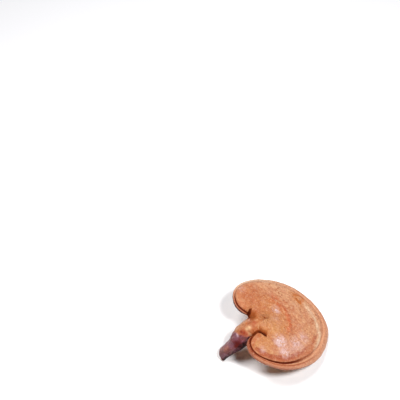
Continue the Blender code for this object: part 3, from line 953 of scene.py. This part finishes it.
def stem_masks(points, facing, on_stem, wave):
    """Marks of the neck and the stem, and where the stem's skin begins."""
    depth = -points[:, 2]
    border = np.clip(SKIN_DEPTH + SKIN_SLANT * points[:, 1], *SKIN_LIMITS)
    frayed = BORDER_BEND * wave + BORDER_RAGGED * rough(points, *RAGGED_NOISE)
    masks = {name: marked(points, rows) for name, rows in STEM_MARKS.items()}
    masks["shoulder"] = on_stem
    masks["foot"] = on_stem * past("foot", depth)
    masks["stem"] = on_stem * past("skin's border", depth - border + frayed)
    # Painted shade on the side of the stem under the lower lobe
    masks["shaded_side"] = smoothstep(*SHADED_SIDE_RANGE, facing) * on_stem
    # Painted highlight on the side of the stem facing away from the lower lobe
    masks["lit_side"] = smoothstep(*LIT_SIDE_RANGE, -facing) * on_stem
    return masks


def dress_attributes(mesh):
    """Masks that the materials follow, and the place in the cap frame in millimetres, at each vertex."""
    points = coordinates(mesh)
    on_stem = attribute_values(mesh, "stem_share")
    fields = cap_fields(mesh)
    top = fields["top"] * (1 - on_stem)
    wave = rough(points, *COLOUR_WAVE)
    from_line = fields["from_groove"] + LINE_BEND * wave
    masks = {"inset": fields["inset"] / MM, "top": top}
    masks |= crease_masks(points, top) | lip_masks(fields, 1 - on_stem, from_line)
    masks |= cap_masks(points[:, :2], fields, top, from_line, wave)
    masks |= stem_masks(points, normals(mesh) @ SHADED_SIDE, on_stem, wave)
    for name, values in masks.items():
        add_attribute(mesh, name, values)
    layer = mesh.attributes.new("place", "FLOAT_VECTOR", "POINT")
    layer.data.foreach_set("vector", (points / MM).astype(np.float32).ravel())


def joined_body(body):
    """The cap with the stem grown onto it, the clefts cut in and the stem's end cut off."""
    tools = [stem(), cleft("upper cleft", UPPER_CLEFT), cleft("lower cleft", LOWER_CLEFT), knife()]
    for tool in tools:
        joint = body.modifiers.new(tool.name, "BOOLEAN")
        joint.operation = "UNION" if tool is tools[0] else "DIFFERENCE"
        joint.solver = "EXACT"
        joint.object = tool
    joined = evaluated(body, "joined body")
    for shape in (body, *tools):
        bpy.data.objects.remove(shape, do_unlink=True)
    return joined


def wear_foot(mesh):
    """Wear the skin flat where it stands on the floor."""
    points = coordinates(mesh)
    points[:, 2] = np.maximum(points[:, 2], 0.0)
    set_coordinates(mesh, points)


def mushroom():
    """The whole mushroom as one mesh, placed in its rest pose, and the matrix of that pose."""
    body = cap()
    pose = rest_pose(body)
    uncut = evaluated(body, "uncut cap")
    joined = joined_body(body)
    mesh = even_faces(joined)
    skin = gathered(joined.polygons, "material_index", kind=np.int32)[nearest_faces(joined, mesh)[0]]
    carry_fields(uncut, mesh)
    give_skins(mesh)
    round_off(mesh, skin)
    lay_skins(mesh, skin)
    carve(mesh)
    dress_attributes(mesh)
    mesh.transform(pose)
    wear_foot(mesh)
    mesh.shade_smooth()
    return placed("reishi_mushroom_skin", mesh), pose


# Surfaces are this much darker than their display colours, since the light overexposes the floor
TONE = 0.80


def srgb(red, green, blue):
    """Linear colour of a display colour given from 0 to 255."""
    def linear(value):
        value /= 255
        return TONE * (value / 12.92 if value <= 0.04045 else ((value + 0.055) / 1.055) ** 2.4)
    return (linear(red), linear(green), linear(blue), 1.0)


class Recipe:
    """A node material under construction, with grains by name.

    A term is a number, a socket, the name of a grain or a mask, or a smooth step given as (term, low, high) or
    (term, low, high, start, end).
    """

    def __init__(self, name, grains):
        self.material = bpy.data.materials.new(name)
        self.material.use_nodes = True
        self.nodes = self.material.node_tree.nodes
        self.links = self.material.node_tree.links
        self.shader = self.nodes["Principled BSDF"]
        self.place = self.node("Attribute", "Vector", {}, attribute_name="place")
        self.grains = {key: self.grain(*values) for key, values in grains.items()}

    def feed(self, socket, value):
        if isinstance(value, bpy.types.NodeSocket):
            self.links.new(value, socket)
        else:
            socket.default_value = value

    def node(self, kind, output, inputs, **settings):
        """Output of a new node with its settings, and its inputs by name or number."""
        node = self.nodes.new("ShaderNode" + kind)
        for name, value in settings.items():
            setattr(node, name, value)
        for key, value in inputs.items():
            self.feed(node.inputs[key], value)
        return node.outputs[output]

    def grain(self, size, detail, roughness, distortion=0.0, stretch=(1.0, 1.0, 1.0)):
        """Noise from 0 to 1 with features of the given size in millimetres."""
        place = self.node("VectorMath", "Vector", {0: self.place, 1: stretch}, operation="MULTIPLY")
        return self.node("TexNoise", "Fac", {
            "Vector": place, "Scale": 1 / size, "Detail": detail, "Roughness": roughness, "Distortion": distortion,
        })

    def cells(self, size):
        """Distance from the middle of the nearest cell, with cells of the given size in millimetres."""
        return self.node("TexVoronoi", "Distance", {"Vector": self.place, "Scale": 1 / size})

    def value(self, term):
        """Number or socket for a term."""
        if isinstance(term, tuple):
            return self.step(*term)
        if not isinstance(term, str):
            return term
        if term in self.grains:
            return self.grains[term]
        return self.node("Attribute", "Fac", {}, attribute_name=term)

    def step(self, term, low, high, start=0.0, end=1.0):
        """Smooth step of a term between low and high, from start to end."""
        inputs = {"Value": self.value(term), "From Min": low, "From Max": high, "To Min": start, "To Max": end}
        return self.node("MapRange", "Result", inputs, interpolation_type="SMOOTHSTEP")

    def math(self, operation, *terms):
        """The terms joined by the operation, one after the other."""
        total = self.value(terms[0])
        for term in terms[1:]:
            total = self.node("Math", "Value", {0: total, 1: self.value(term)}, operation=operation)
        return total

    def unsigned(self, term):
        return self.node("Math", "Value", {0: self.value(term)}, operation="ABSOLUTE")

    def mix(self, share, first, second):
        """Colour between the first and the second."""
        return self.node("Mix", 2, {0: share, 6: first, 7: second}, data_type="RGBA")

    def layers(self, colour, rows):
        """The colour with each row's display colour mixed in, row after row, by the product of the row's terms."""
        for shade, *terms in rows:
            colour = self.mix(self.math("MULTIPLY", *terms), colour, srgb(*shade))
        return colour

    def ramp(self, term, stops):
        """Colour ramp over display colours."""
        colour = self.node("ValToRGB", "Color", {"Fac": self.value(term)})
        elements = colour.node.color_ramp.elements
        while len(elements) < len(stops):
            elements.new(0.5)
        for element, (position, shade) in zip(elements, stops):
            element.position = position
            element.color = srgb(*shade)
        return colour

    def finish(self, colour, roughness, *bumps):
        """The material, with its bumps as pairs of a term and a depth in millimetres."""
        below = {}
        for term, depth in bumps:
            inputs = {"Distance": depth * MM, "Height": self.value(term), **below}
            below = {"Normal": self.node("Bump", "Normal", inputs)}
        for key, value in {"Base Color": colour, "Roughness": roughness, **below}.items():
            self.feed(self.shader.inputs[key], value)
        return self.material


# Grains of the crust: size in millimetres, detail, roughness, distortion, and stretch
CRUST_GRAINS = {
    "broad": (10.0, 4.0, 0.6), "blotch": (4.2, 5.0, 0.6, 0.4), "mottle": (2.3, 4.0, 0.65, 0.3, (1.0, 1.07, 1.0)),
    "fine": (1.3, 5.0, 0.65), "speck": (0.55, 3.0, 0.6), "patches": (3.4, 5.0, 0.7, 0.5, (1.0, 1.15, 1.0)),
    "dusting": (4.0, 6.0, 0.68, 0.6), "flakes": (1.8, 4.0, 0.6, 0.4), "film": (7.5, 6.0, 0.7, 0.5),
    "knots": (5.0, 4.0, 0.6, 0.3, (1.0, 1.0, 0.6)), "streaks": (1.6, 5.0, 0.65, 0.0, (1.0, 1.0, 0.22)),
    "zones": (9.0, 3.0, 0.55, 0.2, (1.0, 1.0, 0.8)),
}
DOT_SIZE = 8.5
# Layers of colour, each with the terms of its share: the cap's top
CAP_GROUND = (198, 110, 60)
CAP_LAYERS = (
    ((220, 150, 98), ("broad", 0.38, 0.62)),
    ((188, 98, 54), ("blotch", 0.42, 0.64, 0.0, 0.75)),
    ((236, 188, 148), "pale", ("blotch", 0.30, 0.66, 0.68, 0.40)),
    ((214, 144, 88), "hub", ("blotch", 0.35, 0.6, 0.0, 0.7)),
    ((170, 90, 48), ("patches", 0.47, 0.34), "top", 0.85),
    ((242, 190, 142), ("patches", 0.53, 0.66), "top", 0.6),
    ((208, 104, 58), "arc", ("blotch", 0.40, 0.60, 0.1, 1.0)),
    ((178, 74, 36), ("band", 0.3, 0.8), ("blotch", 0.34, 0.54, 0.2, 1.0)),
    ((246, 214, 178), "stripe", ("blotch", 0.30, 0.66, 1.0, 0.55)),
    ((216, 142, 78), "yellow", 0.6),
    ((196, 112, 68), "ruddy", 0.5),
    ((198, 108, 36), ("loop", 0.2, 0.8), ("blotch", 0.30, 0.60, 0.6, 1.0)),
    ((208, 150, 88), "olive", 0.6),
    ((186, 100, 60), "brown", 0.6),
    # Dust with painted sheen
    ((222, 170, 146), "greyish", 0.5),
    ((186, 98, 56), "outer", ("blotch", 0.25, 0.6, 0.35, 0.75)),
    ((160, 68, 32), ("band", 0.35, 0.75), ("patches", 0.42, 0.54), 0.85),
    ((176, 86, 54), "ruddy_edge", 0.55),
    # Spore dust with painted sheen, and painted highlights where it is brightest
    ((236, 200, 196), ("bloom_and_sheen", 0.10, 0.85), ("dusting", 0.36, 0.62)),
    ((250, 230, 230), ("bloom_and_sheen", 0.5, 0.95), ("flakes", 0.48, 0.60)),
    ((230, 172, 140), "top", ("film", 0.48, 0.70, 0.0, 0.4)),
)
# The lip, from its outer edge inwards, and what lies over its bands
LIP_BANDS = (
    (0.00, (190, 104, 70)), (0.14, (222, 150, 112)), (0.38, (224, 150, 110)), (0.52, (176, 86, 50)),
    (0.66, (218, 142, 100)), (0.84, (240, 182, 140)), (1.0, (170, 80, 44)),
)
LIP_STRENGTH = 0.85
LIP_LAYERS = (
    ((226, 160, 120), "lip", "far_rim", ("mottle", 0.3, 0.7, 0.4, 0.8)),
    # On the lower lobe's left side the lip is reddish, partly its own colour and partly painted shade, darkest
    # towards the groove
    ((188, 94, 46), "lip", "red_lip", 0.7),
    ((142, 52, 20), "lip", "red_lip", ("lip_share", 0.20, 0.50, 0.1, 0.95)),
    ((232, 206, 176), "cream", ("blotch", 0.25, 0.65, 1.0, 0.8)),
)
# Mottling and specks all over, and the cracked skin around the dimple
SPECK_LAYERS = (
    ((250, 206, 168), ("mottle", 0.54, 0.70, 0.0, 0.36)),
    ((170, 82, 40), ("mottle", 0.46, 0.30, 0.0, 0.42)),
    ((160, 76, 40), ("fine", 0.38, 0.62, 0.0, 0.3)),
    ((242, 202, 168), ("speck", 0.58, 0.72, 0.0, 0.52)),
    ((120, 58, 26), ("dots", 0.09, 0.04), "top", 0.8),
    ((180, 108, 56), "dimpled", 0.45),
    ((112, 56, 26), ("from_crack", 0.055, 0.012), "dimpled", 0.85),
)
# Painted shade in the groove and line, on the upper lobe's side, in the fold across the neck, and on the slopes
# beside the creases
SHADE_LAYERS = (
    ((104, 32, 14), ("groove_dark", 0.1, 0.8, 0.0, 0.97)),
    ((96, 28, 22), ("side_dark", 0.1, 0.9, 0.0, 0.95), ("under", 0.0, 0.3)),
    ((172, 100, 58), ("hollow", 0.15, 1.0, 0.0, 0.55)),
    ((144, 68, 26), ("slope", 0.15, 1.0, 0.0, 0.88)),
)
# Painted shade deepening towards the floor of the creases and clefts
PIT_COLOURS = ((0.0, (190, 104, 54)), (0.45, (124, 52, 20)), (1.0, (56, 14, 3)))
# On the stem's crust: a darker orange, and a painted highlight on the stem's lit side
NECK_LAYERS = (((182, 98, 54), "shoulder", 0.5), ((232, 180, 138), "lit_side", 0.45))
# The stem's lacquered skin, and the marks over its border with the crust, among them painted highlights and painted
# shade
SKIN_GROUND = (120, 50, 42)
SKIN_LAYERS = (
    ((138, 80, 92), ("zones", 0.40, 0.58)),
    ((80, 22, 20), ("knots", 0.46, 0.34, 0.0, 0.7)),
    ((142, 84, 100), "mauve", 0.7),
    ((190, 134, 142), ("streaks", 0.52, 0.74, 0.0, 0.45)),
    # Painted shade where the lower lobe hangs over the stem
    ((100, 24, 18), ("deep", 0.1, 0.9, 0.0, 0.9)),
    # Painted highlights towards the cut end
    ((196, 130, 108), "light", ("knots", 0.3, 0.6, 0.5, 1.0)),
    ((92, 44, 48), "foot", 0.5),
    # Painted glint
    ((230, 196, 204), "glint"),
    # Painted highlight on the stem's lit side
    ((196, 140, 136), "lit_side", 0.25),
)
STEM_LAYERS = (
    # Painted highlight on the knob below the neck
    ((246, 200, 150), "tan", 0.85),
    ((162, 52, 22), "red", 0.95),
    # Nearly black painted shade on the stem's side under the lower lobe
    ((26, 4, 6), "shaded_side", ("stem", 0.0, 0.3), 0.97),
)
# Pore surface and cut flesh
PORES_GRAINS = {"broad": (12.0, 4.0, 0.6), "blotch": (3.0, 5.0, 0.6), "fine": (1.5, 3.0, 0.5)}
PORES_GROUND = (206, 150, 106)
PORE_SIZE = 0.42
PORES_LAYERS = (
    ((222, 172, 124), ("broad", 0.38, 0.62)),
    ((196, 132, 86), ("blotch", 0.45, 0.70, 0.0, 0.5)),
    ((238, 214, 186), ("inset", 6.5, 3.0)),
    ((132, 82, 50), ("holes", 0.32, 0.12), 0.55),
)
FLESH_GRAINS = {"blotch": (3.0, 4.0, 0.6), "fine": (0.9, 4.0, 0.6)}
FLESH_GROUND = (216, 178, 138)
FIBRE_SIZE = 0.75
FLESH_LAYERS = (
    ((188, 138, 96), ("blotch", 0.4, 0.62)),
    ((140, 88, 56), ("fibres", 0.35, 0.10, 0.0, 0.7)),
)


def shade_crust(r):
    """Name the painted shade of the groove, the wall and the upper lobe's side, with uneven edges."""
    bent = r.math("ADD", "from_groove", ("blotch", 0.2, 0.8, -0.5, 0.5))
    groove = r.math("MULTIPLY", (r.unsigned(bent), 2.9, 1.0), "grooved")
    groove = r.math("MAXIMUM", groove, r.math("MULTIPLY", "line", 0.45))
    from_wall = r.unsigned(r.math("SUBTRACT", "from_groove", 0.9))
    r.grains["groove_dark"] = r.math("MAXIMUM", groove, r.math("MULTIPLY", (from_wall, 2.0, 0.8), "wall"))
    r.grains["side_dark"] = r.math("ADD", "under", ("patches", 0.2, 0.8, -0.35, 0.35))


def crust_colour(r):
    """Spore-dusted crust of the cap."""
    colour = r.layers(srgb(*CAP_GROUND), CAP_LAYERS)
    colour = r.mix(r.math("MULTIPLY", "lip", LIP_STRENGTH), colour, r.ramp("lip_share", LIP_BANDS))
    colour = r.layers(colour, (*LIP_LAYERS, *SPECK_LAYERS, *SHADE_LAYERS))
    return r.mix(r.value(("crease", 0.03, 0.4)), colour, r.ramp("crease", PIT_COLOURS))


def crust_material():
    """Varnished crust under spore dust on the cap, passing into the lumpy mauve skin of the stem."""
    r = Recipe("reishi crust", CRUST_GRAINS)
    r.grains["dots"] = r.cells(DOT_SIZE)
    r.grains["from_crack"] = r.unsigned(r.math("SUBTRACT", "patches", 0.5))
    shade_crust(r)
    colour = r.layers(crust_colour(r), NECK_LAYERS)
    colour = r.mix(r.value("stem"), colour, r.layers(srgb(*SKIN_GROUND), SKIN_LAYERS))
    colour = r.layers(colour, STEM_LAYERS)
    on_cap = r.value(("blotch", 0.35, 0.65, 0.46, 0.62))
    on_stem = r.value(("streaks", 0.4, 0.7, 0.36, 0.52))
    roughness = r.node("Mix", 0, {0: r.value("stem"), 2: on_cap, 3: on_stem}, data_type="FLOAT")
    dull = r.math("MAXIMUM", "groove_dark", "crease", "slope", "shaded_side", "deep")
    r.feed(r.shader.inputs["Specular IOR Level"], r.value((dull, 0.0, 0.5, 0.30, 0.03)))
    lumps = r.math("MULTIPLY", "knots", "stem")
    return r.finish(colour, roughness, ("mottle", 0.8), ("fine", 0.48), (lumps, 1.0), ("streaks", 0.14))


def pores_material():
    """Tan pore surface with a whitish margin."""
    r = Recipe("reishi pores", PORES_GRAINS)
    r.grains["holes"] = r.cells(PORE_SIZE)
    colour = r.layers(srgb(*PORES_GROUND), PORES_LAYERS)
    return r.finish(colour, 0.82, ("fine", 0.15), (("holes", 0.12, 0.42), 0.10))


def flesh_material():
    """Fibrous cream flesh of the cut end."""
    r = Recipe("reishi flesh", FLESH_GRAINS)
    r.grains["fibres"] = r.cells(FIBRE_SIZE)
    return r.finish(r.layers(srgb(*FLESH_GROUND), FLESH_LAYERS), 0.88, ("fine", 0.25), ("fibres", 0.12))


def floor():
    """Pale floor under the mushroom."""
    mesh = bpy.data.meshes.new("floor")
    work = bmesh.new()
    bmesh.ops.create_circle(work, cap_ends=True, segments=96, radius=FLOOR_RADIUS)
    work.to_mesh(mesh)
    work.free()
    mesh.materials.append(Recipe("pale floor", {}).finish(FLOOR_COLOUR, 0.8))
    placed("floor", mesh)


def studio():
    """Two soft lights from above, and a dim world."""
    world = bpy.data.worlds.new("studio")
    bpy.context.scene.world = world
    world.use_nodes = True
    background = world.node_tree.nodes["Background"]
    background.inputs["Color"].default_value = WORLD_COLOUR
    background.inputs["Strength"].default_value = WORLD_STRENGTH
    for name, (place, size, power) in LIGHTS.items():
        data = bpy.data.lights.new(name, "AREA")
        data.shape = "DISK"
        data.size = size
        data.energy = power
        lamp = placed(name, data)
        lamp.location = place
        lamp.rotation_euler = (Vector(LIT_PLACE) - Vector(place)).to_track_quat("-Z", "Y").to_euler()
    bpy.context.scene.view_settings.view_transform = "Standard"


def camera(pose):
    """Camera at the photograph's angle, with the mushroom at its place in the frame."""
    data = bpy.data.cameras.new("camera")
    data.lens = LENS
    data.sensor_width = SENSOR
    piece = placed("camera", data)
    sight = Matrix.Rotation(math.pi / 2 - ELEVATION, 4, "X")
    distance = PIXEL_SIZE * PICTURE * LENS / SENSOR
    target = Vector(pose.translation) + sight.to_3x3() @ (Vector(MIDDLE_OFFSET) * PIXEL_SIZE)
    pixel = SENSOR / PICTURE / LENS
    aim = Vector(((MIDDLE_PIXEL[0] - PICTURE / 2) * pixel, (PICTURE / 2 - MIDDLE_PIXEL[1]) * pixel, -1.0))
    turn = aim.rotation_difference(Vector((0.0, 0.0, -1.0))).to_matrix().to_4x4()
    piece.matrix_world = Matrix.Translation(target + sight.to_3x3() @ Vector((0.0, 0.0, distance))) @ sight @ turn
    bpy.context.scene.camera = piece


crust = crust_material()
SKINS = [crust, pores_material(), crust, flesh_material()]
floor()
skin, pose = mushroom()
studio()
camera(pose)
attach(skin, "root")
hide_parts("reishi_mushroom")
